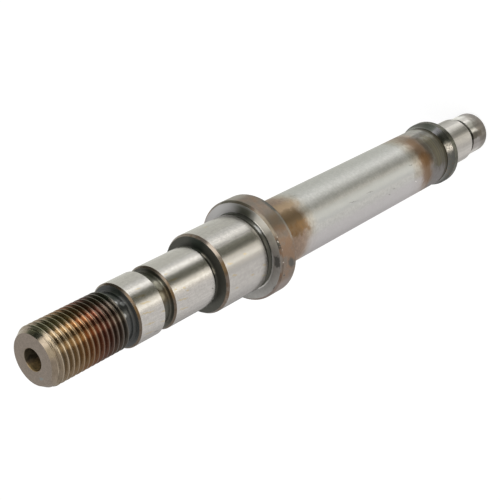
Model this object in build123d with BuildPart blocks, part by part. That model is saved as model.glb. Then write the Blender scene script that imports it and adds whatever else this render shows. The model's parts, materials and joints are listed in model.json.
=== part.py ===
from build123d import *
import os
from math import radians, tan

# Stepped spindle shaft, turned and ground from one bar of steel.
# +Z runs along the axis from the tail pin to the threaded end, and the origin is the
# centre of the tail pin's flat end, on which the shaft can stand.  Units are millimetres.

# ---- Lengths along the axis, from the tail up -----------------------------------------
tail_pin_length = 14.1
tail_journal_length = 19.1
rim_width = 2.9
flare_length = 3.6
body_length = 111.0
collar_width = 7.95
large_seat_length = 23.35
long_seat_length = 21.4
ring_groove_width = 4.6
short_seat_length = 10.9
thread_relief_width = 3.4
thread_length = 29.85

# ---- Diameters ------------------------------------------------------------------------
tail_pin_diameter = 17.2
tail_journal_diameter = 19.0
rim_diameter = 27.0
body_diameter = 24.5
collar_diameter = 36.9
large_seat_diameter = 28.5
seat_diameter = 22.0
thread_diameter = 20.0

# ---- Reliefs and grooves, each as deep as stated below its own land ---------------------
tail_relief_width = 2.6
tail_relief_depth = 0.6
tail_relief_corner = 0.4
flare_hollow = 0.35
line_groove_width = 0.5
line_groove_depth = 0.25
collar_relief_width = 2.6
collar_relief_depth = 1.05
collar_relief_corner = 0.8
large_seat_relief_width = 2.45
large_seat_relief_depth = 1.4
large_seat_relief_corner = 0.8
ring_groove_depth = 2.0
ring_groove_corner = 1.1
thread_relief_depth = 1.5
thread_relief_corner = 0.9

# The largest share of a cut's depth and of its width that the rounding of its floor takes
corner_share = 0.9

# ---- Edge breaks ----------------------------------------------------------------------
tail_pin_chamfer = 0.5
tail_journal_chamfer = 0.4
rim_chamfer = 0.25
collar_back_chamfer = 0.35
collar_front_chamfer = 0.75
seat_chamfer = 0.6

# The large seat and the thread start with a long slanted edge, deeper along than across
large_seat_lead_length = 1.05
large_seat_lead_depth = 0.65
thread_lead_length = 2.5
thread_lead_depth = 1.6

# ---- Holes in the two ends ------------------------------------------------------------
drilled_hole_diameter = 7.4
drilled_hole_depth = 18.0
drill_point_angle = 118.0
centre_pilot_diameter = 3.15
centre_pilot_depth = 6.0
centre_mouth_diameter = 6.7
centre_angle = 60.0

# How closely an edge has to match a stated height and radius to be picked
match = 0.001

# ---- Heights of the shoulders, worked out from the lengths ----------------------------
tail_shoulder = tail_pin_length
rim_back = tail_shoulder + tail_journal_length
rim_front = rim_back + rim_width
flare_top = rim_front + flare_length
collar_back = flare_top + body_length
collar_front = collar_back + collar_width
large_seat_top = collar_front + large_seat_length
long_seat_top = large_seat_top + long_seat_length
short_seat_foot = long_seat_top + ring_groove_width
short_seat_top = short_seat_foot + short_seat_length
thread_foot = short_seat_top + thread_relief_width
overall_length = thread_foot + thread_length
drill_point_length = drilled_hole_diameter / 2 / tan(radians(drill_point_angle / 2))


def land(foot, top, diameter):
    """A plain cylindrical stretch of the shaft between two heights."""
    with BuildSketch(Plane.XY.offset(foot)) as section:
        Circle(diameter / 2)
    extrude(section.sketch, amount=top - foot)


def flare(foot, foot_diameter, top, top_diameter, hollow):
    """A hollow-curved ring that runs out from the narrower land to the wider one."""
    with BuildSketch(Plane.XZ) as section:
        with BuildLine():
            outer = (foot_diameter / 2, foot)
            inner = (top_diameter / 2, top)
            SagittaArc(inner, outer, hollow)
            Polyline(outer, (0, foot), (0, top), inner)
        make_face()
    revolve(section.sketch, axis=Axis.Z)


def relief(shoulder, width, land_diameter, depth, corner):
    """A grinding relief cut into a land beside a shoulder.

    It runs from the shoulder by the signed width, and rounds into the shoulder at its floor.
    """
    corner = min(corner, corner_share * depth, corner_share * abs(width))
    with BuildSketch(Plane.XZ) as section:
        with Locations(((land_diameter - depth) / 2, shoulder + width / 2)):
            Rectangle(depth, abs(width))
        floor_corners = section.vertices().group_by(Axis.X)[0].sort_by(Axis.Y)
        fillet(floor_corners[0 if width > 0 else -1], corner)
    revolve(section.sketch, axis=Axis.Z, mode=Mode.SUBTRACT)


def groove(foot, width, land_diameter, depth, corner, edge_break=0):
    """A groove turned round a land, with both corners of its floor rounded.

    The rounding stops below the chamfer, of size edge_break, on the groove's lower edge.
    """
    corner = min(corner, corner_share * width / 2, corner_share * (depth - edge_break))
    with BuildSketch(Plane.XZ) as section:
        with Locations(((land_diameter - depth) / 2, foot + width / 2)):
            Rectangle(depth, width)
        if corner > 0:
            fillet(section.vertices().group_by(Axis.X)[0], corner)
    revolve(section.sketch, axis=Axis.Z, mode=Mode.SUBTRACT)


def circles(part, height, diameter):
    """The circular edges of one diameter at one height."""
    level = part.edges().filter_by(GeomType.CIRCLE)
    level = level.filter_by_position(Axis.Z, height - match, height + match)
    return level.filter_by(lambda edge: abs(edge.radius - diameter / 2) < match)


def lead(part, height, diameter, depth, length):
    """A slanted start to a land: so deep on its flat shoulder, and so long along the land."""
    rim = circles(part, height, diameter)
    shoulder = part.faces().filter_by(lambda face: rim[0] in face.edges())
    flat = shoulder.filter_by(GeomType.PLANE)[0]
    chamfer(rim, depth, length, reference=flat)


with BuildPart() as shaft:
    # The lands, from the tail pin up to the thread
    land(0, tail_shoulder, tail_pin_diameter)
    land(tail_shoulder, rim_back, tail_journal_diameter)
    land(rim_back, rim_front, rim_diameter)
    flare(rim_front, rim_diameter, flare_top, body_diameter, flare_hollow)
    land(flare_top, collar_back, body_diameter)
    land(collar_back, collar_front, collar_diameter)
    land(collar_front, large_seat_top, large_seat_diameter)
    land(large_seat_top, short_seat_top, seat_diameter)
    land(short_seat_top, overall_length, thread_diameter)

    # Grinding reliefs at the shoulders, the ring groove and the line cut at the flare
    relief(tail_shoulder, -tail_relief_width,
           tail_pin_diameter, tail_relief_depth, tail_relief_corner)
    relief(collar_front, collar_relief_width,
           large_seat_diameter, collar_relief_depth, collar_relief_corner)
    relief(large_seat_top, large_seat_relief_width,
           seat_diameter, large_seat_relief_depth, large_seat_relief_corner)
    relief(short_seat_top, thread_relief_width,
           thread_diameter, thread_relief_depth, thread_relief_corner)
    groove(long_seat_top, ring_groove_width,
           seat_diameter, ring_groove_depth, ring_groove_corner, seat_chamfer)
    groove(flare_top, line_groove_width, body_diameter, line_groove_depth, 0)

    # Edge breaks
    chamfer(circles(shaft, 0, tail_pin_diameter), tail_pin_chamfer)
    chamfer(circles(shaft, tail_shoulder, tail_journal_diameter), tail_journal_chamfer)
    chamfer(circles(shaft, rim_back, rim_diameter), rim_chamfer)
    chamfer(circles(shaft, collar_back, collar_diameter), collar_back_chamfer)
    chamfer(circles(shaft, collar_front, collar_diameter), collar_front_chamfer)
    lead(shaft, large_seat_top, large_seat_diameter,
         large_seat_lead_depth, large_seat_lead_length)
    chamfer(circles(shaft, long_seat_top, seat_diameter), seat_chamfer)
    chamfer(circles(shaft, short_seat_top, seat_diameter), seat_chamfer)
    lead(shaft, overall_length, thread_diameter, thread_lead_depth, thread_lead_length)

    # The drilled hole in the threaded end, with the drill's point at its bottom
    with Locations((0, 0, overall_length)):
        Hole(drilled_hole_diameter / 2, drilled_hole_depth)
    with Locations((0, 0, overall_length - drilled_hole_depth)):
        Cone(drilled_hole_diameter / 2, 0, drill_point_length, rotation=(180, 0, 0),
             align=(Align.CENTER, Align.CENTER, Align.MIN), mode=Mode.SUBTRACT)

    # The centre hole in the tail, which holds the shaft on a grinding machine's centre
    with Locations(Plane(origin=(0, 0, 0), z_dir=(0, 0, -1))):
        CounterSinkHole(centre_pilot_diameter / 2, centre_mouth_diameter / 2,
                        centre_pilot_depth, centre_angle)

os.makedirs("parts", exist_ok=True)
shaft.part.label = "shaft"
export_step(shaft.part, "parts/shaft.step")
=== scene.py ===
import json
import math
import bpy
from mathutils import Matrix, Vector


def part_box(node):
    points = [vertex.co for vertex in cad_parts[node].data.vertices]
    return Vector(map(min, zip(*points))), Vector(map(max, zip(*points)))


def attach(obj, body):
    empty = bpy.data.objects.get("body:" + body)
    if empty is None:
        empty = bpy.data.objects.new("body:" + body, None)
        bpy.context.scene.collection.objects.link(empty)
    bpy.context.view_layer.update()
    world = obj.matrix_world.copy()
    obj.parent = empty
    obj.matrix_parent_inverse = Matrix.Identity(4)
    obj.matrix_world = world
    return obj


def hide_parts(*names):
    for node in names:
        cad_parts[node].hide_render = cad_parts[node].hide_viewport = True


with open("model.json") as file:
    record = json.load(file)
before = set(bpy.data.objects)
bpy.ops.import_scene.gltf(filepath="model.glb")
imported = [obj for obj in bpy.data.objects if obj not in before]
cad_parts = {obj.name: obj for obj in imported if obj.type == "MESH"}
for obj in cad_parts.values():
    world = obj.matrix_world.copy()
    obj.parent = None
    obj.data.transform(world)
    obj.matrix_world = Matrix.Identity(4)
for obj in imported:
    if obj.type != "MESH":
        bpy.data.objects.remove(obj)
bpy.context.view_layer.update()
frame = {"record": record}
scene = bpy.context.scene

# Sizes are in millimetres until a vertex is made, and metres from there on.
MM = 0.001
top_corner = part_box("shaft")[1]
overall_length = top_corner.z / MM

# ---- Seats and faces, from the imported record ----
mounts = {mount["name"]: mount for mount in frame["record"]["mounts"]}


def seat(name):
    """Radius, foot and top of the straight part of one seat."""
    dims = mounts[name]["dims"]
    middle = mounts[name]["pos_m"][2] / MM
    half = dims["length_mm"] / 2
    return dims["r_mm"], middle - half, middle + half


thread_radius, thread_foot, thread_top = seat("thread")
short_radius, short_foot, short_top = seat("short_seat")
long_radius, long_foot, long_top = seat("long_seat")
large_radius, large_foot, large_top = seat("large_seat")
journal_radius, journal_foot, journal_top = seat("tail_journal")
pin_radius = seat("tail_pin")[0]
hole_radius = mounts["drilled_hole"]["dims"]["r_mm"]
hole_depth = mounts["drilled_hole"]["dims"]["length_mm"]
collar_front = mounts["collar_face"]["pos_m"][2] / MM
collar_radius = top_corner.x / MM

# Marks and tints are placed by their depth below a gauge plane near the threaded end
gauge_over_collar = 93.25
gauge_height = collar_front + gauge_over_collar

# ---- Sizes that the record doesn't give ----
seat_chamfer = 0.6
thread_relief_depth = 1.5
thread_relief_corner = 0.9
ring_groove_width = 4.6
ring_groove_depth = 2.0
ring_groove_corner = 1.1
large_relief_depth = 1.4
relief_corner = 0.8
collar_relief_corner = 1.2
large_lead_length = 1.05
large_lead_depth = 0.65
thread_lead_depth = 1.6
collar_relief_depth = 1.05
collar_width = 7.95
collar_front_chamfer = 0.75
collar_back_chamfer = 0.35
body_radius = 12.25
line_groove_width = 0.5
line_groove_depth = 0.25
flare_length = 3.6
flare_hollow = 0.35
rim_radius = 13.5
rim_width = 2.9
rim_chamfer = 0.25
journal_chamfer = 0.4
journal_corner = 0.15
pin_relief_width = 2.6
pin_relief_depth = 0.6
pin_relief_corner = 0.35
drill_point_angle = 118.0
centre_pilot_radius = 1.575
centre_pilot_depth = 6.0
centre_mouth_radius = 3.35
centre_angle = 60.0
pin_chamfer = 0.5

# The thread: its pitch, where one crest lies, and how far its foot is cut below the crests
pitch = 2.0
crest_depth = 2.7
crest_turn = 5.0
thread_foot_break = 0.5

# Its profile, in shares of a pitch from the crest: where the crest's flat ends, where the
# root starts to round, by how much, and the places of its rows down to the root
flank_angle = 30.0
crest_share = 0.085
root_share = 3 / 8
root_rounding = 0.144
thread_stations = (0, 0.065, 0.1, 0.18, 0.27, 0.36, 0.42)

# How far each kind of edge is rounded
groove_edge = 0.05
keen_edge = 0.06
rim_edge = 0.08
fine_edge = 0.1
soft_edge = 0.14
pin_edge = 0.2
blunt_edge = 0.3

# The mesh: columns round the axis, steps on a rounding up to fine_rounding (a larger one has
# twice as many), and the largest share of an edge that a rounding at one end takes
columns = 192
arc_steps = 3
fine_rounding = 0.25
rounding_share = 0.45
flare_steps = 5

# Rows are at most so far apart, and the thread's rows keep so far from its two flat rings.
# The helix starts turns_above pitches above a crest, and spare_turns take it past the foot.
longest_row = 3.0
closest_row = 0.03
turns_above = 2
spare_turns = 4

# Edges are sharp where faces meet at more than this angle, in degrees
sharp_angle = 40


# ---- The section, as corners from the drill's point out and down to the centre hole ----
def height_of_cone(radius, angle):
    """How far a cone of that full angle is from its point to that radius."""
    return radius / math.tan(math.radians(angle / 2))


seat_shoulder = short_top + seat_chamfer
groove_top = short_foot
groove_foot = groove_top - ring_groove_width
large_shoulder = large_top + large_lead_length
collar_back = collar_front - collar_width
flare_foot = journal_top + rim_width
body_foot = flare_foot + flare_length
journal_end = journal_foot - journal_chamfer
hole_foot = overall_length - hole_depth
thread_lead_length = overall_length - thread_top
pilot_cone = (centre_mouth_radius - centre_pilot_radius) / centre_mouth_radius
pilot_cone *= height_of_cone(centre_mouth_radius, centre_angle)


def hollow_flare():
    """Corners along the flare, which is hollowed between the body and the rim."""
    corners = []
    for step in range(1, flare_steps):
        share = step / flare_steps
        sag = flare_hollow * 4 * share * (1 - share)
        corners.append((body_foot + share * (flare_foot - body_foot),
                        body_radius + share * (rim_radius - body_radius) - sag, 0))
    return corners


# Each stretch has a finish and the corners that it leads to, as height, radius, rounding
upper_section = [
    ("bore", [
        (hole_foot - height_of_cone(hole_radius, drill_point_angle), 0, 0),
        (hole_foot, hole_radius, blunt_edge),
        (overall_length, hole_radius, soft_edge)]),
    ("end", [(overall_length, thread_radius - thread_lead_depth, 0)]),
]
lower_section = [
    ("oxide", [
        (thread_foot, thread_radius - thread_relief_depth, 0),
        (seat_shoulder, thread_radius - thread_relief_depth, thread_relief_corner),
        (seat_shoulder, short_radius - seat_chamfer, keen_edge)]),
    ("edge", [(short_top, short_radius, soft_edge)]),
    ("ground", [(groove_top, short_radius, soft_edge)]),
    ("groove", [
        (groove_top, long_radius - ring_groove_depth, ring_groove_corner),
        (groove_foot, long_radius - ring_groove_depth, ring_groove_corner),
        (groove_foot, long_radius - seat_chamfer, keen_edge)]),
    ("edge", [(long_top, long_radius, soft_edge)]),
    ("ground", [(long_foot, long_radius, keen_edge)]),
    ("oxide", [
        (long_foot, long_radius - large_relief_depth, fine_edge),
        (large_shoulder, long_radius - large_relief_depth, relief_corner),
        (large_shoulder, large_radius - large_lead_depth, keen_edge)]),
    ("edge", [(large_top, large_radius, soft_edge)]),
    ("ground", [(large_foot, large_radius, keen_edge)]),
    ("oxide", [
        (large_foot, large_radius - collar_relief_depth, fine_edge),
        (collar_front, large_radius - collar_relief_depth, collar_relief_corner)]),
    ("face", [(collar_front, collar_radius - collar_front_chamfer, soft_edge)]),
    ("rim", [
        (collar_front - collar_front_chamfer, collar_radius, blunt_edge),
        (collar_back + collar_back_chamfer, collar_radius, soft_edge),
        (collar_back, collar_radius - collar_back_chamfer, keen_edge)]),
    ("face", [(collar_back, body_radius, blunt_edge)]),
    ("body", [(body_foot + line_groove_width, body_radius, keen_edge)]),
    ("flare", [
        (body_foot + line_groove_width, body_radius - line_groove_depth, groove_edge),
        (body_foot, body_radius - line_groove_depth, groove_edge),
        (body_foot, body_radius, keen_edge),
        *hollow_flare(),
        (flare_foot, rim_radius, soft_edge)]),
    ("narrow rim", [
        (journal_top + rim_chamfer, rim_radius, rim_edge),
        (journal_top, rim_radius - rim_chamfer, rim_edge),
        (journal_top, journal_radius, journal_corner)]),
    ("ground", [
        (journal_foot, journal_radius, soft_edge),
        (journal_end, journal_radius - journal_chamfer, keen_edge)]),
    ("oxide", [
        (journal_end, pin_radius - pin_relief_depth, pin_relief_corner),
        (journal_end - pin_relief_width, pin_radius - pin_relief_depth, fine_edge)]),
    ("pin", [
        (journal_end - pin_relief_width, pin_radius, keen_edge),
        (pin_chamfer, pin_radius, blunt_edge),
        (0, pin_radius - pin_chamfer, pin_edge)]),
    ("end", [(0, centre_mouth_radius, fine_edge)]),
    ("bore", [
        (pilot_cone, centre_pilot_radius, 0),
        (centre_pilot_depth, centre_pilot_radius, 0),
        (centre_pilot_depth, 0, 0)]),
]

# The order in which the mesh holds its finishes
finishes = ["bore", "end", "thread", "oxide", "edge", "ground", "groove", "face", "rim",
            "body", "flare", "narrow rim", "pin"]


def rows_of(section):
    """Turns a section's corners into rows of (finish, height, radius), rounded and divided."""
    corners = [(finish, Vector((height, radius)), rounding)
               for finish, stretch in section for height, radius, rounding in stretch]
    points = []
    for index, (finish, corner, rounding) in enumerate(corners):
        if rounding == 0 or index in (0, len(corners) - 1):
            points.append((finish, corner))
            continue
        back = corners[index - 1][1] - corner
        ahead = corners[index + 1][1] - corner
        half = back.angle(ahead) / 2
        run = min(rounding / math.tan(half), rounding_share * back.length,
                  rounding_share * ahead.length)
        start = corner + back.normalized() * run
        end = corner + ahead.normalized() * run
        inward = (back.normalized() + ahead.normalized()).normalized()
        centre = corner + inward * (run / math.cos(half))
        steps = arc_steps if rounding < fine_rounding else 2 * arc_steps
        spoke = (start - centre).length
        for step in range(steps + 1):
            on_arc = (start - centre).slerp(end - centre, step / steps)
            points.append((finish, centre + on_arc.normalized() * spoke))
    rows = [points[0]]
    for finish, point in points[1:]:
        before = rows[-1][1]
        parts = max(1, math.ceil((point - before).length / longest_row))
        for part in range(1, parts + 1):
            rows.append((finish, before.lerp(point, part / parts)))
    return [(finish, point[0], point[1]) for finish, point in rows]


# ---- The thread ----
def thread_depth(share):
    """How far the thread lies below its crest, at that share of a pitch from the crest."""
    slope = pitch / math.tan(math.radians(flank_angle))
    if share <= crest_share:
        return 0.0
    if share <= root_share:
        return (share - crest_share) * slope
    bottom = (root_share - crest_share) * slope
    turn = (share - root_share) / (0.5 - root_share) * math.pi / 2
    return bottom + root_rounding * math.sin(turn)


def crest_height(turn):
    """The height of one crest of the right-handed thread, at an angle about the axis."""
    start = -math.pi / 2 - math.radians(crest_turn)
    return gauge_height - crest_depth + pitch * (turn - start) / (2 * math.pi)


def thread_surface(height, turn):
    """The thread's radius there, cut by the lead at its end and the edge break at its foot."""
    turns = (height - crest_height(turn)) / pitch
    share = abs(turns - round(turns))
    radius = thread_radius - thread_depth(share)
    lead_share = 1 - (overall_length - height) / thread_lead_length
    above = thread_radius - thread_lead_depth * lead_share
    below = thread_radius - thread_foot_break + height - thread_foot
    return min(radius, above, below)


# ---- The mesh ----
class Skin:
    """Vertices and faces of the shaft, in rings about its axis."""

    def __init__(self):
        self.vertices = []
        self.faces = []
        self.finishes = []

    def vertex(self, height, radius, turn):
        """The index of a new vertex, at a height and a radius in millimetres."""
        self.vertices.append((radius * MM * math.cos(turn), radius * MM * math.sin(turn),
                              height * MM))
        return len(self.vertices) - 1

    def ring(self, height, radius):
        """A ring of vertices, or one vertex repeated where the ring is a point."""
        if radius == 0:
            return [self.vertex(height, 0, 0)] * columns
        return [self.vertex(height, radius, turn) for turn in column_turns]

    def face(self, finish, *corners):
        """A face without the corners that fall together."""
        kept = []
        for corner in corners:
            if corner not in kept:
                kept.append(corner)
        if len(kept) > 2:
            self.faces.append(kept)
            self.finishes.append(finishes.index(finish))

    def band(self, finish, ring, next_ring):
        """The faces between two rings."""
        for column in range(columns):
            after = (column + 1) % columns
            self.face(finish, ring[column], next_ring[column], next_ring[after], ring[after])

    def lathe(self, section):
        """Turns one section into bands, and gives back its first and its last ring."""
        rings = []
        for finish, height, radius in rows_of(section):
            rings.append(self.ring(height, radius))
            if len(rings) > 1:
                self.band(finish, rings[-2], rings[-1])
        return rings[0], rings[-1]

    def helix(self, top, foot):
        """The thread's rows, which follow its helix and end at the two flat rings."""
        falling = [1 - share for share in reversed(thread_stations[1:])]
        shares = [*thread_stations, 0.5, *falling]
        rounds = math.ceil((overall_length - thread_foot) / pitch) + spare_turns
        grid = []
        for column, turn in enumerate(column_turns):
            start = crest_height(turn) + turns_above * pitch
            line = []
            for step in range(rounds * len(shares)):
                height = start - pitch * (step // len(shares) + shares[step % len(shares)])
                if height > overall_length - closest_row:
                    line.append(top[column])
                elif height < thread_foot + closest_row:
                    line.append(foot[column])
                else:
                    line.append(self.vertex(height, thread_surface(height, turn), turn))
            grid.append(line)
        for column in range(columns):
            # One turn on, the same row lies a pitch higher
            shift = len(shares) if column == columns - 1 else 0
            line = grid[column]
            after = grid[(column + 1) % columns]
            for row in range(shift, len(line) - 1):
                self.face("thread", line[row], line[row + 1],
                          after[row + 1 - shift], after[row - shift])


def put(name, data):
    """A new object in the scene."""
    thing = bpy.data.objects.new(name, data)
    scene.collection.objects.link(thing)
    return thing


column_turns = [2 * math.pi * column / columns for column in range(columns)]
skin = Skin()
top_ring = skin.lathe(upper_section)[1]
foot_ring = [skin.vertex(thread_foot, thread_surface(thread_foot, turn), turn)
             for turn in column_turns]
skin.helix(top_ring, foot_ring)
relief_ring = skin.lathe(lower_section)[0]
skin.band("oxide", foot_ring, relief_ring)

mesh = bpy.data.meshes.new("turned_shaft")
mesh.from_pydata(skin.vertices, [], skin.faces)
mesh.polygons.foreach_set("material_index", skin.finishes)
mesh.shade_smooth()
mesh.set_sharp_from_angle(angle=math.radians(sharp_angle))
mesh.validate()
shaft = put("turned_shaft", mesh)
weighted = shaft.modifiers.new("flat_normals", "WEIGHTED_NORMAL")
weighted.keep_sharp = True
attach(shaft, "root")
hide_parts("shaft")


# ---- Finishes ----
# A spot fades between these shares of its half length and half width
fleck_full = 0.5
fleck_gone = 1.2

# Nearly all of a noise's values lie in this range, and a ragged edge follows a wider one
noise_low = 0.3
noise_high = 0.7
ragged_low = 0.25
ragged_high = 0.75

# Noise cells to a metre: round the axis in turned marks, in mottling, along the edge of a
# patch and along the edge of a spot
marks_around = 25.0
mottle_size = 900.0
patch_edge_size = 400.0
fleck_edge_size = 1500.0

# The degrees by which an edge wanders in turn where it wanders by a millimetre in depth
patch_edge_turn = 5
fleck_edge_turn = 3

# How far mottling and marks change the tone and the roughness of every finish
mottle_tone = 0.05
marks_tone = 1 / 3
marks_roughness = 0.03

# Sockets of a Mix node that blends colours, which share their names with its other kinds
mix_first = 6
mix_second = 7
mix_result = 2

# How far the marks of a finish stand out, in metres
coarse_bump = 0.00003
fine_bump = 0.00001

# Stretches of turn in which the shoulders catch the light, as start, end and soft width
upper_light = (-29, -4, 5)
lower_light = (22, 95, 8)


class Nodes:
    """Short ways to add nodes to one tree."""

    def __init__(self, tree):
        self.nodes = tree.nodes
        self.links = tree.links

    def feed(self, socket, value):
        """Links an output to a socket, or sets the socket to a plain value."""
        if isinstance(value, bpy.types.NodeSocket):
            self.links.new(value, socket)
        else:
            socket.default_value = value

    def add(self, kind, *values, **settings):
        """A new node, with some of its settings and values for its first inputs."""
        node = self.nodes.new(kind)
        for name, value in settings.items():
            setattr(node, name, value)
        for socket, value in zip(node.inputs, values):
            self.feed(socket, value)
        return node

    def math(self, operation, *values, clamp=False):
        """The result of one sum, of outputs or plain values."""
        node = self.add("ShaderNodeMath", *values, operation=operation, use_clamp=clamp)
        return node.outputs[0]

    def times(self, first, second):
        """The product of two masks or values."""
        return self.math("MULTIPLY", first, second)

    def length(self, *values):
        """The length of a vector put together from its parts."""
        joined = self.add("ShaderNodeCombineXYZ", *values).outputs[0]
        return self.add("ShaderNodeVectorMath", joined, operation="LENGTH").outputs["Value"]

    def mix(self, share, first, second, blend="MIX"):
        """Two colours blended, by the share that the second one has."""
        node = self.add("ShaderNodeMix", data_type="RGBA", blend_type=blend)
        self.feed(node.inputs["Factor"], share)
        self.feed(node.inputs[mix_first], first)
        self.feed(node.inputs[mix_second], second)
        return node.outputs[mix_result]

    def step(self, value, start, end, low=0, high=1):
        """A smooth step from low to high while the value goes from start to end."""
        node = self.add("ShaderNodeMapRange", value, start, end, low, high,
                        interpolation_type="SMOOTHSTEP")
        return node.outputs[0]


def fleck_group():
    """A node group that masks one slanted spot, given where it is in depth and turn."""
    group = bpy.data.node_groups.new("fleck", "ShaderNodeTree")
    for name in ("Depth", "Turn", "At depth", "At turn", "Half length", "Half width",
                 "Slant"):
        group.interface.new_socket(name, in_out="INPUT", socket_type="NodeSocketFloat")
    group.interface.new_socket("Mask", in_out="OUTPUT", socket_type="NodeSocketFloat")
    tree = Nodes(group)
    given = tree.add("NodeGroupInput").outputs
    along = tree.math("SUBTRACT", given["Depth"], given["At depth"])
    centre = tree.math("ADD", given["At turn"], tree.times(along, given["Slant"]))
    around = tree.math("SUBTRACT", given["Turn"], centre)
    distance = tree.length(tree.math("DIVIDE", along, given["Half length"]),
                           tree.math("DIVIDE", around, given["Half width"]))
    tree.add("NodeGroupOutput", tree.step(distance, fleck_gone, fleck_full))
    return group


fleck_tree = fleck_group()


class Finish(Nodes):
    """A turned or ground metal finish, and the masks and colours that it is made of.

    Depth is in millimetres from the gauge plane, and turn is the angle about the axis in
    degrees from the -Y side towards -X.
    """

    def __init__(self, name, colour, roughness, spread=0, marks=0.1, mark_size=2200,
                 metallic=1):
        self.material = bpy.data.materials.new(name)
        self.material.use_nodes = True
        super().__init__(self.material.node_tree)
        self.surface = self.nodes["Principled BSDF"]
        self.surface.inputs["Metallic"].default_value = metallic
        if spread > 0:
            # Turned marks run round the axis, so the gloss spreads a quarter turn from them
            self.surface.inputs["Anisotropic"].default_value = spread
            self.surface.inputs["Anisotropic Rotation"].default_value = 1 / 4
            tangent = self.add("ShaderNodeTangent", direction_type="RADIAL", axis="Z")
            self.feed(self.surface.inputs["Tangent"], tangent.outputs[0])
        self.find_place()
        self.fine = self.noise(self.grain(marks_around, mark_size), detail=4)
        self.mottle = self.noise(self.scaled(mottle_size), detail=3)
        self.tone = (*colour, 1)
        change = marks * marks_tone
        self.shade(self.varied(self.fine, 1 - change, 1 + change))
        self.shade(self.varied(self.mottle, 1 - mottle_tone, 1 + mottle_tone))
        self.roughness = self.varied(self.fine, roughness - marks_roughness,
                                     roughness + marks_roughness)
        self.bumps = self.times(self.fine, marks)

    def varied(self, noise, low, high):
        """A value from low to high that follows a noise."""
        return self.step(noise, noise_low, noise_high, low, high)

    def window(self, value, start, end, soft):
        """1 between start and end, fading over the soft width at each."""
        rise = self.step(value, start - soft / 2, start + soft / 2)
        fall = self.step(value, end + soft / 2, end - soft / 2)
        return self.times(rise, fall)

    def noise(self, place, detail=3, roughness=0.55):
        """A noise with one cell to each unit of the place."""
        # The inputs are the place, one that this kind of noise doesn't use, and the scale
        node = self.add("ShaderNodeTexNoise", place, 0, 1, detail, roughness)
        return node.outputs["Fac"]

    def ramp(self, value, stops):
        """Colours along a value, as (value, colour) pairs in rising order."""
        first, last = stops[0][0], stops[-1][0]
        scaled = self.math("DIVIDE", self.math("SUBTRACT", value, first), last - first)
        node = self.add("ShaderNodeValToRGB", scaled)
        elements = node.color_ramp.elements
        while len(elements) < len(stops):
            elements.new(0.5)
        for element, (at, colour) in zip(elements, stops):
            element.position = (at - first) / (last - first)
            element.color = (*colour, 1)
        return node.outputs["Color"]

    def find_place(self):
        """Finds the place of a point, its radius, its depth and its turn."""
        self.place = self.add("ShaderNodeTexCoord").outputs["Object"]
        self.x, self.y, z = self.add("ShaderNodeSeparateXYZ", self.place).outputs
        self.radius = self.math("DIVIDE", self.length(self.x, self.y), MM)
        self.depth = self.math("SUBTRACT", gauge_height, self.math("DIVIDE", z, MM))
        left = self.times(self.x, -1)
        near = self.times(self.y, -1)
        self.turn = self.math("DEGREES", self.math("ARCTAN2", left, near))

    def grain(self, around, across):
        """A place for marks that run round the axis, on a land and on a face alike."""
        profile = self.times(self.math("SUBTRACT", self.radius, self.depth), across * MM)
        return self.add("ShaderNodeCombineXYZ", self.times(self.x, around),
                        self.times(self.y, around), profile).outputs[0]

    def scaled(self, size):
        """The place at that many noise cells to a metre."""
        node = self.add("ShaderNodeVectorMath", self.place, operation="SCALE")
        self.feed(node.inputs["Scale"], size)
        return node.outputs[0]

    def streaked(self, across, along):
        """A place for streaks that run along the axis."""
        sizes = (across, across, along)
        split = self.add("ShaderNodeSeparateXYZ", self.place).outputs
        parts = [self.times(value, size) for value, size in zip(split, sizes)]
        return self.add("ShaderNodeCombineXYZ", *parts).outputs[0]

    def ragged(self, value, amount, size=patch_edge_size):
        """A value made uneven by up to that amount each way."""
        wander = self.step(self.noise(self.scaled(size), detail=4), ragged_low,
                           ragged_high, -amount, amount)
        return self.math("ADD", value, wander)

    def shade(self, factor):
        """Multiplies the tone by a grey factor."""
        self.tone = self.mix(1, self.tone, factor, blend="MULTIPLY")

    def shade_where(self, mask, factor):
        """Multiplies the tone by a grey factor where the mask says."""
        self.shade(self.step(mask, 0, 1, 1, factor))

    def shade_stretches(self, depths, soft, stretches):
        """Shades a range of depths, over stretches of turn given as (turns, factor)."""
        for turns, factor in stretches:
            self.shade_where(self.patch(depths, turns, soft), factor)

    def stain(self, mask, colour, strength=1):
        """Lays a colour over the tone where the mask says."""
        if strength != 1:
            mask = self.times(mask, strength)
        self.tone = self.mix(mask, self.tone, (*colour, 1))

    def side(self, start, end, soft, ragged=0):
        """A mask over a stretch of turn."""
        turn = self.ragged(self.turn, ragged) if ragged else self.turn
        return self.window(turn, start, end, soft)

    def patch(self, depths, turns, soft, ragged=0):
        """A mask over a range of depths and of turns, each with its soft width."""
        depth = self.ragged(self.depth, ragged) if ragged else self.depth
        turn = self.ragged(self.turn, ragged * patch_edge_turn) if ragged else self.turn
        along = self.window(depth, *depths, soft[0])
        around = self.window(turn, *turns, soft[1])
        return self.times(along, around)

    def tint(self, depths, turns, soft, colour, strength=1, ragged=0, within=None):
        """Stains a patch, or the part of it that lies within another mask."""
        mask = self.patch(depths, turns, soft, ragged)
        if within:
            mask = self.times(mask, within)
        self.stain(mask, colour, strength)

    def flecks(self, colour, strength, spots, uneven=0.5, along=None):
        """Stains spots, each given as (depth, turn, half length, half width, slant).

        Their depths are along the axis, unless another value in millimetres is named.
        """
        depth = self.ragged(along or self.depth, uneven, size=fleck_edge_size)
        turn = self.ragged(self.turn, uneven * fleck_edge_turn, size=fleck_edge_size)
        mask = None
        for spot in spots:
            node = self.add("ShaderNodeGroup", depth, turn, *spot, node_tree=fleck_tree)
            found = node.outputs[0]
            mask = self.math("MAXIMUM", mask, found) if mask else found
        self.stain(mask, colour, strength)

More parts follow.
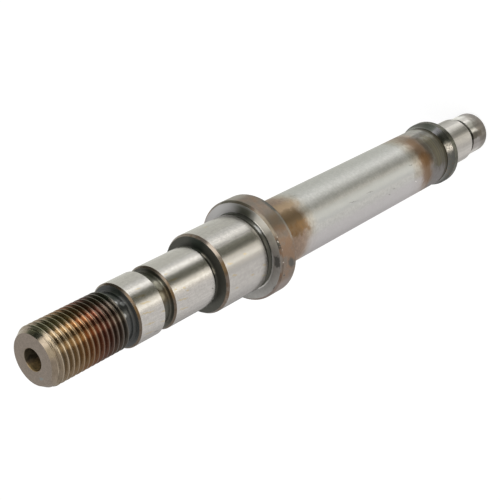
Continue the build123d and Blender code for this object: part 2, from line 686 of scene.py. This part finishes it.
    def finish(self, bump=coarse_bump):
        """Joins the tone, the roughness and the marks to the shader."""
        node = self.add("ShaderNodeBump")
        self.feed(node.inputs["Height"], self.bumps)
        self.feed(node.inputs["Strength"], 1)
        self.feed(node.inputs["Distance"], bump)
        self.feed(self.surface.inputs["Normal"], node.outputs[0])
        self.feed(self.surface.inputs["Base Color"], self.tone)
        self.feed(self.surface.inputs["Roughness"], self.roughness)
        return self.material


def ground_steel():
    """Ground seats: bright, with small golden flecks, and duller on the tail journal."""
    steel = Finish("ground_steel", (0.45, 0.44, 0.42), 0.26, marks=0.06)
    steel.roughness = steel.step(steel.depth, 100, 200, 0.26, 0.5)
    steel.shade(steel.step(steel.depth, 68, 72, 1, 0.94))
    # Painted light and shade in stretches of turn on the tail journal, and then on the large
    # seat
    steel.shade_stretches((215, 240), (1, 5), [
        ((-72, -61), 0.8), ((-40, -20), 1.2), ((-13, -3), 0.82), ((2, 30), 0.87),
        ((38, 54), 1.15), ((60, 72), 0.9)])
    steel.shade_stretches((71, 96), (2, 4), [((-29, -20), 0.88), ((-19, -10), 1.3)])
    streaks = steel.noise(steel.streaked(2600, 160), detail=3)
    steel.shade(steel.varied(streaks, 0.95, 1.04))
    # Painted shade along the seats' lower edge, and over the large seat's lower highlight
    steel.tint((46, 96), (77, 100), (8, 10), (0.12, 0.12, 0.117), 0.85)
    steel.tint((71, 96), (0, 21), (2, 6), (0.36, 0.355, 0.34), 0.8)
    steel.flecks((0.44, 0.365, 0.21), 0.6, [
        # Short seat
        (38, -24, 1.2, 1.2, 0.6), (37, -10.5, 2.4, 1.6, 0.8), (37.2, 2, 2.2, 1.5, 0.8),
        (37, 18.5, 3.2, 1.7, 0.7), (43, 29, 1.2, 1.3, 0.6), (36.8, 38, 2.6, 1.6, 0.6),
        (42.8, 47.5, 1.1, 1.6, 1.4), (37.4, 57.5, 2.8, 1.6, 0.8),
        # Long seat
        (50.6, -24, 1, 1.2, 0.5), (51.6, -10, 2.2, 1.5, 0.4), (50.2, 6, 0.7, 1.5, 0.5),
        (53.9, 10, 0.8, 1.4, 0.5), (55, 17, 0.7, 1.3, 0.5), (52.2, 27, 2.7, 1.5, 0.8),
        (52.4, 44.5, 2.4, 1.5, 0.9),
        # Large seat
        (77.8, -62, 1.4, 1.1, 0.3), (73.2, 8, 1.1, 1.4, 0.5), (73.6, 25, 1.5, 1.4, 0.8),
        (74.5, 45, 1.1, 1.4, 0.8), (81.2, 6, 0.9, 1.3, 0.5), (82.6, 38, 1.2, 1.5, 0.8),
        (89, 33, 1, 1.4, 0.5), (89.2, 50, 1.2, 1.4, 0.5)])
    steel.flecks((0.14, 0.13, 0.12), 0.8, [(66, 36, 0.45, 1.4, 1.5), (41, 65, 0.9, 1.2, 0.8)])
    return steel.finish(fine_bump)


def body_steel():
    """The long body: duller, heat tinted gold by the collar and brown to blue-grey below."""
    steel = Finish("body_steel", (0.455, 0.46, 0.45), 0.46, marks=0.1, mark_size=1300)
    grains = steel.noise(steel.scaled(1500), detail=4, roughness=0.7)
    blotches = steel.noise(steel.streaked(900, 500), detail=2)
    steel.bumps = steel.math("ADD", steel.bumps, steel.times(grains, 0.8))
    steel.bumps = steel.math("ADD", steel.bumps, steel.times(blotches, 1.6))
    steel.shade(steel.varied(grains, 0.93, 1.06))
    # Painted shade, cooler, where the lower highlight falls
    steel.tint((118, 192), (0, 20), (4, 6), (0.405, 0.42, 0.42), 0.9)
    depth = steel.ragged(steel.depth, 1.2, size=250)
    tint = steel.ramp(depth, [
        (100, (0.2, 0.15, 0.11)), (110, (0.235, 0.172, 0.128)), (114, (0.285, 0.215, 0.165)),
        (117, (0.37, 0.325, 0.27)), (119, (0.42, 0.4, 0.36)), (123, (0.455, 0.46, 0.45)),
        (184, (0.44, 0.445, 0.435)), (189, (0.38, 0.365, 0.33)), (192, (0.34, 0.3, 0.25)),
        (194, (0.31, 0.26, 0.21)), (198, (0.27, 0.225, 0.19)), (203, (0.25, 0.245, 0.235)),
        (208, (0.24, 0.24, 0.235)), (212, (0.17, 0.17, 0.15))])
    heat = steel.math("MAXIMUM", steel.step(depth, 124, 120), steel.step(depth, 184, 188))
    fine = steel.varied(steel.mottle, 0.88, 1.09)
    steel.tone = steel.mix(heat, steel.tone, steel.mix(1, tint, fine, blend="MULTIPLY"))
    speckle = steel.step(steel.noise(steel.scaled(900), detail=4), 0.38, 0.62, 0.35, 1)
    # Straw and gold by the collar, with orange in them
    steel.tint((108, 119), (-42, -24), (4, 12), (0.3, 0.222, 0.138), 0.8, ragged=1)
    steel.tint((102, 116.5), (-24, 20), (3.5, 10), (0.165, 0.115, 0.064), 0.88, ragged=1)
    steel.tint((104, 113.5), (1, 18), (3, 8), (0.15, 0.087, 0.04), 0.85, 1.2, speckle)
    steel.tint((112.5, 117.5), (0, 20), (2, 8), (0.225, 0.135, 0.062), 0.85, 1, speckle)
    # Lilac low down; then tan, bronze, mauve, dusky brown and black scale by the flare
    steel.tint((116, 196), (34, 100), (6, 14), (0.458, 0.446, 0.457), 0.7)
    steel.tint((193, 199.5), (-50, 60), (4, 26), (0.185, 0.12, 0.073), 0.9, ragged=1)
    steel.tint((194, 200.5), (-5, 19), (5, 12), (0.132, 0.072, 0.03), 0.9, ragged=0.8)
    steel.tint((200, 214), (26, 100), (4, 14), (0.222, 0.212, 0.218), 0.6, ragged=0.8)
    steel.tint((199.5, 202.5), (-40, 14), (3, 12), (0.075, 0.06, 0.044), 0.75, ragged=0.7)
    steel.tint((202, 214), (-30, 34), (4, 20), (0.105, 0.103, 0.082), 0.85, ragged=1.8)
    # Olive flakes and rust on the scale
    flaky = steel.step(steel.noise(steel.grain(8, 1400), detail=4), 0.44, 0.6)
    steel.tint((203, 210.5), (-42, 30), (2.5, 10), (0.185, 0.17, 0.12), 0.8, 1.4, flaky)
    rusty = steel.step(steel.noise(steel.grain(10, 900), detail=4), 0.5, 0.66)
    steel.tint((200, 210.5), (-30, 30), (2.5, 10), (0.125, 0.085, 0.055), 0.5, 1.8, rusty)
    # Painted light on the scale's upper side, and low down by the collar
    steel.shade_stretches((199, 211), (4, 8), [((-96, -50), 1.7), ((-37, -23), 1.35)])
    steel.shade_stretches((99, 116), (4, 6), [((66, 82), 1.25)])
    by_flare = steel.window(steel.ragged(steel.depth, 0.3), 210.2, 213, 1.4)
    steel.stain(by_flare, (0.06, 0.055, 0.037), 0.75)
    matte = steel.step(steel.depth, 193, 202, 0, 0.28)
    steel.roughness = steel.math("ADD", steel.roughness, matte)
    steel.flecks((0.2, 0.2, 0.19), 0.8, [
        (145, 14.5, 3, 0.7, 0.7), (156, 13, 2.4, 0.7, 0.2), (172, 30, 1, 0.9, 1),
        (186, 4, 1.2, 0.9, 0.3), (168.5, 36, 0.7, 0.9, 1), (121.5, -47, 1.4, 0.8, 1.5)])
    steel.flecks((0.8, 0.8, 0.78), 1, [(187.8, 39, 0.5, 1, 1)])
    return steel.finish()


def thread_steel():
    """The thread: straw, then orange and red, then black, from its end to its foot."""
    steel = Finish("thread_steel", (0.3, 0.25, 0.17), 0.26, marks=0.12)
    depth = steel.ragged(steel.depth, 1.2, size=300)
    steel.tone = steel.ramp(depth, [
        (-0.5, (0.33, 0.28, 0.225)), (1.8, (0.33, 0.28, 0.215)), (3, (0.28, 0.23, 0.165)),
        (8, (0.275, 0.205, 0.125)), (12, (0.245, 0.155, 0.08)), (15.5, (0.21, 0.108, 0.057)),
        (19, (0.165, 0.078, 0.051)), (22, (0.125, 0.066, 0.05)), (25, (0.092, 0.066, 0.052)),
        (28, (0.08, 0.072, 0.06)), (30, (0.09, 0.092, 0.085))])
    steel.shade(steel.varied(steel.fine, 0.94, 1.06))
    steel.shade(steel.varied(steel.mottle, 0.9, 1.1))
    # Dark in the root, pale on the crest
    root = steel.step(steel.radius, thread_radius - 0.75, thread_radius - 1.25)
    inside = steel.step(steel.depth, 1.5, 3)
    steel.stain(steel.times(root, inside), (0.045, 0.038, 0.026), 0.6)
    crest = steel.step(steel.radius, thread_radius - 0.12, thread_radius - 0.02)
    pale = steel.ramp(steel.depth, [(2, (0.38, 0.325, 0.25)), (12, (0.27, 0.2, 0.13)),
                                    (20, (0.14, 0.1, 0.08)), (29, (0.12, 0.115, 0.105))])
    steel.tone = steel.mix(steel.times(crest, 0.8), steel.tone, pale)
    # Painted highlights: lightened in two stretches of turn where the highlights fall, the
    # flanks most
    steel.shade_where(steel.patch((2.5, 30), (-30, -16), (1.5, 5), ragged=0.4), 1.2)
    flank = steel.patch((2.5, 21), (-30, -15), (4, 5))
    flank = steel.math("SUBTRACT", flank, crest, clamp=True)
    steel.shade_where(flank, 1.55)
    steel.shade_where(steel.patch((2.5, 30), (-3, 13), (1.5, 8), ragged=0.4), 1.4)
    # Painted shade on the upper side, tinted olive
    shaded_side = steel.side(-66, -36, 10, ragged=2)
    olive = steel.mix(1, steel.tone, (0.68, 0.8, 0.7, 1), blend="MULTIPLY")
    steel.tone = steel.mix(shaded_side, steel.tone, olive)
    # Painted shade: a dark patch on the upper side of the end's chamfer
    steel.tint((-1, 1.8), (-47, -33), (0.8, 5), (0.07, 0.08, 0.065), 0.7, ragged=0.3)
    return steel.finish(fine_bump)


def oxide_steel():
    """Reliefs and shoulders left dark: steely by the thread, greener further down."""
    steel = Finish("oxide_steel", (0.062, 0.062, 0.05), 0.24, marks=0.08, metallic=0.5)
    steel.stain(steel.window(steel.depth, 26, 34, 0.5), (0.066, 0.069, 0.067))
    # Painted shade on the upper side
    steel.stain(steel.side(-62, -33, 14, ragged=3), (0.018, 0.027, 0.018), 0.8)
    steel.stain(steel.window(steel.depth, 88, 94, 0.5), (0.09, 0.09, 0.075), 0.8)
    # Painted highlights: spots in the reliefs, two on the large seat's shoulder, and a ring at
    # the foot of the collar face
    steel.flecks((0.38, 0.39, 0.39), 0.85, [
        (29.9, -25, 0.55, 6, 0), (30.1, 7.5, 0.6, 5.5, 0), (31.6, -17, 0.9, 6, 0),
        (92.9, -17, 0.4, 9, 0)], uneven=0.15)
    steel.flecks((0.34, 0.31, 0.25), 0.8, [
        (69.3, -27, 0.4, 8, 0), (69.3, 9, 0.4, 8, 0)], uneven=0.1)
    ring = steel.times(steel.window(steel.radius, 14.2, 14.5, 0.15),
                       steel.window(steel.depth, 92.9, 93.6, 0.2))
    lit = steel.math("MAXIMUM", steel.side(*upper_light), steel.side(*lower_light))
    steel.stain(steel.times(ring, lit), (0.75, 0.74, 0.7), 0.9)
    flat = steel.math("MAXIMUM", steel.window(steel.depth, 32.5, 33.5, 0.3),
                      steel.window(steel.depth, 69.4, 70.4, 0.3))
    steel.roughness = steel.math("ADD", steel.roughness, steel.times(flat, 0.22))
    return steel.finish(fine_bump)


def edge_steel():
    """The chamfers on the seats, tinted brown in patches."""
    steel = Finish("edge_steel", (0.2, 0.17, 0.14), 0.28, marks=0.15)
    steel.stain(steel.window(steel.depth, 68, 73, 1), (0.21, 0.18, 0.155))
    brown = steel.noise(steel.scaled(420), detail=4)
    steel.stain(steel.step(brown, 0.5, 0.62), (0.15, 0.105, 0.065), 0.7)
    # Painted highlight on the large seat's chamfer, golden all along one side, and painted
    # shade on the large seat's chamfer there
    steel.tint((68, 73), (-31, -7), (1, 5), (0.37, 0.325, 0.285), 0.85, ragged=0.3)
    steel.stain(steel.side(1, 20, 8, ragged=3), (0.19, 0.125, 0.062), 0.8)
    steel.tint((68, 73), (0, 20), (1, 8), (0.11, 0.08, 0.048), 0.75)
    return steel.finish()


def groove_steel():
    """The ring groove: olive, with a browner stretch on its near side."""
    steel = Finish("groove_steel", (0.1, 0.098, 0.08), 0.38, marks=0.08, metallic=0.7)
    # Painted shade on the upper side
    steel.stain(steel.side(-60, -34, 16, ragged=3), (0.045, 0.048, 0.03), 0.8)
    steel.stain(steel.side(-6, 24, 14, ragged=4), (0.105, 0.08, 0.045), 0.8)
    # Painted highlights
    steel.flecks((0.5, 0.485, 0.4), 0.75, [(46.9, -17, 1.6, 13, 0)], uneven=0.1)
    steel.flecks((0.36, 0.33, 0.25), 0.6, [(45.8, 7, 1.2, 11, 0)], uneven=0.1)
    return steel.finish(fine_bump)


def face_steel():
    """The collar's faces: turned, with painted light, shade and highlights, one dark blotch
    and a mark near the rim.
    """
    steel = Finish("face_steel", (0.44, 0.43, 0.41), 0.5, spread=0.95, marks=0.12,
                   mark_size=1600)
    turn = steel.ragged(steel.turn, 2.5, size=900)
    radius = steel.ragged(steel.radius, 0.3, size=900)
    # Painted light on the upper side, painted shade near the seat, and painted highlights with
    # bright rings at the inner edge
    steel.stain(steel.side(-130, -64, 16), (0.58, 0.57, 0.56))
    inner = steel.step(steel.radius, 17.6, 16.6)
    steel.stain(steel.times(steel.side(-57, -35, 14), inner), (0.13, 0.14, 0.1), 0.75)
    bright = steel.side(*upper_light)
    steel.stain(bright, (0.56, 0.55, 0.52), 0.9)
    ring = steel.times(steel.window(steel.radius, 14.1, 14.75, 0.15), bright)
    steel.stain(ring, (0.93, 0.92, 0.88), 0.95)
    edge = steel.times(steel.window(steel.radius, 14.2, 14.65, 0.15), steel.side(*lower_light))
    steel.stain(edge, (0.75, 0.74, 0.72), 0.8)
    blotch = steel.times(steel.window(turn, 26, 40, 4), steel.window(radius, 15.1, 17.4, 0.6))
    steel.stain(blotch, (0.1, 0.105, 0.1), 0.8)
    scuff = steel.times(steel.window(turn, 65, 72, 3), steel.window(radius, 17.5, 18.2, 0.5))
    steel.stain(scuff, (0.08, 0.08, 0.08), 0.8)
    return steel.finish(fine_bump)


def rim_steel():
    """The collar's rim: pinkish brown, with grey and blue-black patches, and painted light and
    shade.
    """
    steel = Finish("rim_steel", (0.215, 0.172, 0.14), 0.5, marks=0.15, mark_size=1200)
    grains = steel.noise(steel.scaled(1500), detail=4, roughness=0.7)
    steel.shade(steel.varied(grains, 0.9, 1.1))
    tone = steel.noise(steel.scaled(260), detail=5)
    steel.stain(steel.step(tone, 0.47, 0.62), (0.24, 0.155, 0.1), 0.7)
    steel.stain(steel.step(tone, 0.5, 0.36), (0.175, 0.16, 0.14), 0.6)
    # Painted light on the upper side; then a painted highlight and painted shade on the front
    # chamfer
    steel.tint((93, 102), (-95, -62), (1, 14), (0.28, 0.27, 0.25), 0.8)
    steel.tint((92.8, 94.1), (-34, 2), (0.5, 6), (0.34, 0.305, 0.26), 0.85, ragged=0.2)
    steel.tint((92.8, 94.1), (-84, -40), (0.5, 8), (0.1, 0.1, 0.075), 0.7, ragged=0.2)
    steel.stain(steel.side(-22, -4, 8, ragged=3), (0.19, 0.165, 0.125), 0.6)
    steel.flecks((0.085, 0.09, 0.085), 0.9, [
        (100.4, -30, 1.1, 12, 0), (98.3, 38, 1.9, 6.5, 1.5), (94.9, 50, 0.6, 1.2, 0.5),
        (93.5, 12, 0.6, 7, 0)], uneven=0.35)
    steel.tint((100, 101.4), (-20, 13), (0.5, 6), (0.27, 0.26, 0.235), 0.7, ragged=0.2)
    # Painted light on the lower side, and a painted highlight on the front edge there; then
    # painted light on the upper side
    steel.stain(steel.side(58, 100, 10), (0.31, 0.27, 0.25), 0.75)
    steel.tint((92.8, 93.7), (24, 46), (0.3, 5), (0.32, 0.3, 0.28), 0.7, ragged=0.2)
    steel.shade_where(steel.side(-90, -60, 10), 1.15)
    # Painted shade along the back edge
    steel.tint((100.75, 102), (-60, 2), (0.2, 8), (0.03, 0.031, 0.03), 0.9)
    # Nicks along the front edge
    steel.flecks((0.66, 0.64, 0.61), 0.85, [
        (93.95, 4, 0.12, 1, 0), (93.8, 9.5, 0.16, 1.3, 0), (94.2, 19, 0.1, 0.8, 0),
        (94, 33, 0.18, 1.1, 0)], uneven=0.2)
    return steel.finish()


def flare_steel():
    """The flare and its line groove: dark and glossy, with a speckled painted highlight on one
    side.
    """
    steel = Finish("flare_steel", (0.095, 0.098, 0.09), 0.26, marks=0.15)
    speckle = steel.noise(steel.streaked(2600, 900), detail=4)
    speckle = steel.step(speckle, 0.38, 0.58, 0.3, 1)
    # A speckled painted highlight, a fainter blue-grey painted highlight, and painted shade on
    # the upper side
    steel.tint((212.4, 215.7), (0, 16), (1.2, 11), (0.46, 0.435, 0.4), 1, 0.9, speckle)
    steel.tint((211.9, 216.2), (-38, -24), (0.4, 8), (0.12, 0.12, 0.13), 0.8)
    steel.tint((211.9, 216.2), (-62, -38), (0.4, 8), (0.07, 0.078, 0.066), 0.8)
    rusty = steel.step(steel.noise(steel.scaled(900), detail=4), 0.52, 0.66)
    steel.stain(steel.times(rusty, steel.side(20, 70, 10)), (0.13, 0.08, 0.05), 0.7)
    steel.stain(steel.window(steel.depth, 211.6, 212.3, 0.2), (0.07, 0.055, 0.03), 0.8)
    return steel.finish()


def narrow_rim_steel():
    """The narrow rim: blackened and grainy."""
    steel = Finish("narrow_rim_steel", (0.085, 0.086, 0.07), 0.45, marks=0.2)
    steel.shade(steel.varied(steel.mottle, 0.7, 1.25))
    return steel.finish()


def pin_steel():
    """The tail pin: grey and browned towards its end, with painted light, shade and a
    highlight in stretches of turn.
    """
    steel = Finish("pin_steel", (0.43, 0.42, 0.4), 0.48, marks=0.1)
    # Painted light on the upper side and in the upper highlight, and painted shade on the
    # lower side
    steel.stain(steel.step(steel.turn, -46, -60), (0.78, 0.775, 0.75))
    steel.stain(steel.side(-36, -12, 8), (0.7, 0.69, 0.66), 0.8)
    steel.stain(steel.side(26, 60, 16), (0.28, 0.26, 0.25), 0.8)
    brown = steel.step(steel.ragged(steel.depth, 1.2), 244.5, 248.5)
    steel.stain(brown, (0.2, 0.18, 0.155), 0.8)
    # Painted shade, dark brown, in a stretch of the lower side
    steel.tint((237, 247.5), (7, 26), (1, 8), (0.055, 0.048, 0.035), 0.92, ragged=0.5)
    steel.tint((245, 253), (-30, 40), (2, 20), (0.15, 0.13, 0.105), 0.6, ragged=1.2)
    # Painted light and shade in stretches of turn, and a painted highlight
    steel.shade_stretches((237, 253), (1, 5), [
        ((-25, -11), 1.15), ((6, 19), 0.8), ((28, 42), 0.82), ((60, 72), 1.12)])
    steel.flecks((0.75, 0.74, 0.71), 0.5, [(241.5, -1, 3, 6, 0)], uneven=0.3)
    return steel.finish()


def end_steel():
    """The two flat ends: a matte taupe, finely mottled, with a faint scratch."""
    steel = Finish("end_steel", (0.24, 0.202, 0.168), 0.5, marks=0.05)
    grains = steel.noise(steel.scaled(2600), detail=4)
    steel.shade(steel.varied(grains, 0.88, 1.12))
    steel.flecks((0.22, 0.26, 0.26), 0.7, [(6.1, 96, 0.55, 9, -10)], uneven=0.25,
                 along=steel.radius)
    return steel.finish(fine_bump)


def bore_steel():
    """The holes' walls: brown, golden on one side, with painted shadow on the other."""
    steel = Finish("bore_steel", (0.2, 0.145, 0.09), 0.4, marks=0.3, mark_size=900,
                   metallic=0.6)
    steel.stain(steel.side(105, 170, 30), (0.4, 0.285, 0.13), 0.8)
    # Painted shadow on the upper side
    steel.stain(steel.side(-178, -95, 25), (0.075, 0.068, 0.045), 0.8)
    blotches = steel.noise(steel.scaled(700), detail=3)
    steel.shade(steel.varied(blotches, 0.5, 1.4))
    return steel.finish()


made = {
    "bore": bore_steel, "end": end_steel, "thread": thread_steel, "oxide": oxide_steel,
    "edge": edge_steel, "ground": ground_steel, "groove": groove_steel, "face": face_steel,
    "rim": rim_steel, "body": body_steel, "flare": flare_steel,
    "narrow rim": narrow_rim_steel, "pin": pin_steel,
}
for finish_name in finishes:
    mesh.materials.append(made[finish_name]())


# ---- Floor, panels, lamp and world ----
def shown_ray(tree):
    """1 for a ray from the camera, or one that metal or glass sends on."""
    path = tree.add("ShaderNodeLightPath").outputs
    shown = tree.math("MAXIMUM", path["Is Camera Ray"], path["Is Glossy Ray"])
    return tree.math("MAXIMUM", shown, path["Is Transmission Ray"])


# The floor's half width in metres, what it reflects and what it adds for a shown ray, and
# the world's light on the object, which is less than the white that a shown ray finds
floor_reach = 3.0
floor_grey = 0.3
floor_glow = 0.82
world_grey = 0.6

floor_mesh = bpy.data.meshes.new("floor")
floor_mesh.from_pydata([(-floor_reach, -floor_reach, 0), (floor_reach, -floor_reach, 0),
                        (floor_reach, floor_reach, 0), (-floor_reach, floor_reach, 0)],
                       [], [(0, 1, 2, 3)])
floor = put("floor", floor_mesh)
white = bpy.data.materials.new("white_floor")
white.use_nodes = True
tree = Nodes(white.node_tree)
paint = tree.nodes["Principled BSDF"]
paint.inputs["Base Color"].default_value = (floor_grey, floor_grey, floor_grey, 1)
paint.inputs["Roughness"].default_value = 0.9
paint.inputs["Specular IOR Level"].default_value = 0.0
paint.inputs["Emission Color"].default_value = (1, 1, 1, 1)
tree.feed(paint.inputs["Emission Strength"], tree.times(shown_ray(tree), floor_glow))
floor_mesh.materials.append(white)

world = bpy.data.worlds.new("studio")
scene.world = world
world.use_nodes = True
tree = Nodes(world.node_tree)
sky = tree.mix(shown_ray(tree), (world_grey, world_grey, world_grey, 1), (1, 1, 1, 1))
tree.feed(tree.nodes["Background"].inputs["Color"], sky)

# The panels, in metres: how far out they start and end, and how far above the floor they
# lie.  Those on the floor stand up at their far side to the elevation wall_rise, in degrees.
panel_steps = 12
panel_near = 0.012
panel_far = 1.3
panel_lift = 0.0004
wall_rise = 5
wall_top = top_corner.z + panel_far * math.tan(math.radians(wall_rise))


def panel(name, turns, colour, rise=None):
    """A studio panel that only the metal sees, between two turns about the shaft.

    It lies on the floor and stands up at its far side, or hangs between two elevations.
    """
    if rise is None:
        profile = [(panel_near, panel_lift), (panel_far / 2, panel_lift),
                   (panel_far, panel_lift), (panel_far, wall_top)]
    else:
        angles = [math.radians(rise[0] + (rise[1] - rise[0]) * step / panel_steps)
                  for step in range(panel_steps + 1)]
        profile = [(panel_far * math.cos(angle), top_corner.z + panel_far * math.sin(angle))
                   for angle in angles]
    vertices = []
    for step in range(panel_steps + 1):
        turn = math.radians(-90 - turns[0] - (turns[1] - turns[0]) * step / panel_steps)
        for radius, height in profile:
            vertices.append((radius * math.cos(turn), radius * math.sin(turn), height))
    count = len(profile)
    faces = []
    for step in range(panel_steps):
        for point in range(count - 1):
            corner = step * count + point
            faces.append((corner, corner + 1, corner + count + 1, corner + count))
    sheet = bpy.data.meshes.new(name)
    sheet.from_pydata(vertices, [], faces)
    holder = put(name, sheet)
    for ray in ("camera", "diffuse", "shadow", "transmission"):
        setattr(holder, "visible_" + ray, False)
    glow = bpy.data.materials.new(name)
    glow.use_nodes = True
    surface = glow.node_tree.nodes["Principled BSDF"]
    surface.inputs["Base Color"].default_value = (0, 0, 0, 1)
    surface.inputs["Specular IOR Level"].default_value = 0.0
    surface.inputs["Emission Color"].default_value = (*colour, 1)
    surface.inputs["Emission Strength"].default_value = 1.0
    sheet.materials.append(glow)


# Round the floor, from behind the shaft by its upper side to its lower side
panel("far_panel", (-180, -76), (0.9, 0.9, 0.83))
panel("upper_strip_edge", (-70, -58), (1.25, 1.24, 1.2))
panel("upper_strip_core", (-58, -50), (2.75, 2.7, 2.61))
panel("upper_strip_side", (-50, -39), (1.5, 1.47, 1.41))
panel("dark_card", (-39, -4), (0.15, 0.15, 0.11))
panel("lower_strip_edge", (-4, 10), (1.56, 1.48, 1.32))
panel("lower_strip_core", (10, 20), (2.35, 2.25, 2.07))
panel("lower_strip_side", (20, 30), (1.1, 1.03, 0.94))
panel("near_panel", (30, 100), (1.05, 1.02, 1))
panel("side_panel", (100, 122), (0.82, 0.8, 0.79))
panel("back_card", (122, 150), (0.57, 0.55, 0.54))
panel("low_card", (150, 178), (0.43, 0.41, 0.4))

# Above the shaft, with the elevations between which each hangs
panel("overhead", (-55, -18), (2.1, 2.02, 1.88), (wall_rise, 61))
panel("low_gap", (-18, -5), (0.5, 0.48, 0.42), (wall_rise, 24))
panel("low_strip", (-5, 28), (1.5, 1.4, 1.2), (wall_rise, 24))
panel("high_panel", (-18, 28), (0.9, 0.84, 0.72), (24, 62))
panel("left_card", (-132, -58), (0.09, 0.09, 0.075), (wall_rise, 47))
panel("left_card_top", (-158, -84), (0.09, 0.09, 0.075), (47, 61))
panel("top_left", (-178, -84), (1.6, 1.56, 1.46), (61, 86))
panel("top_strip", (-84, -46), (4.0, 3.85, 3.5), (61, 86))
panel("top_card", (-46, -5), (0.12, 0.12, 0.1), (62, 90))
panel("top_panel", (-5, 45), (1.2, 1.12, 0.96), (62, 90))
panel("right_panel", (45, 150), (0.58, 0.54, 0.51), (wall_rise, 90))
panel("right_gap", (28, 45), (0.58, 0.54, 0.51), (wall_rise, 62))

soft_lamp = bpy.data.lights.new("soft_lamp", "AREA")
soft_lamp.energy = 8
soft_lamp.size = 1.2
lamp = put("soft_lamp", soft_lamp)
lamp.location = (-0.6, -0.5, 1.6)
lamp_target = Vector((0, 0, 0.12))
lamp.rotation_mode = "QUATERNION"
lamp.rotation_quaternion = (lamp_target - lamp.location).to_track_quat("-Z", "Y")
lamp.visible_camera = False
lamp.visible_glossy = False

# ---- Camera ----
# How far it stands from the axis and above the gauge plane, in metres, and how it is turned
camera_reach = 0.28145
camera_rise = 0.17213
camera_forward = Vector((-0.0028, 0.7220, -0.6918))
camera_up = Vector((0.8865, -0.3182, -0.3357))

lens = bpy.data.cameras.new("camera")
lens.lens = 80
lens.sensor_width = 36
camera = put("camera", lens)
backward = -camera_forward.normalized()
right = camera_up.cross(backward).normalized()
upward = backward.cross(right)
turned = Matrix((right, upward, backward)).transposed().to_4x4()
camera_height = gauge_height * MM + camera_rise
camera.matrix_world = Matrix.Translation((0, -camera_reach, camera_height)) @ turned
scene.camera = camera

scene.view_settings.view_transform = "Standard"
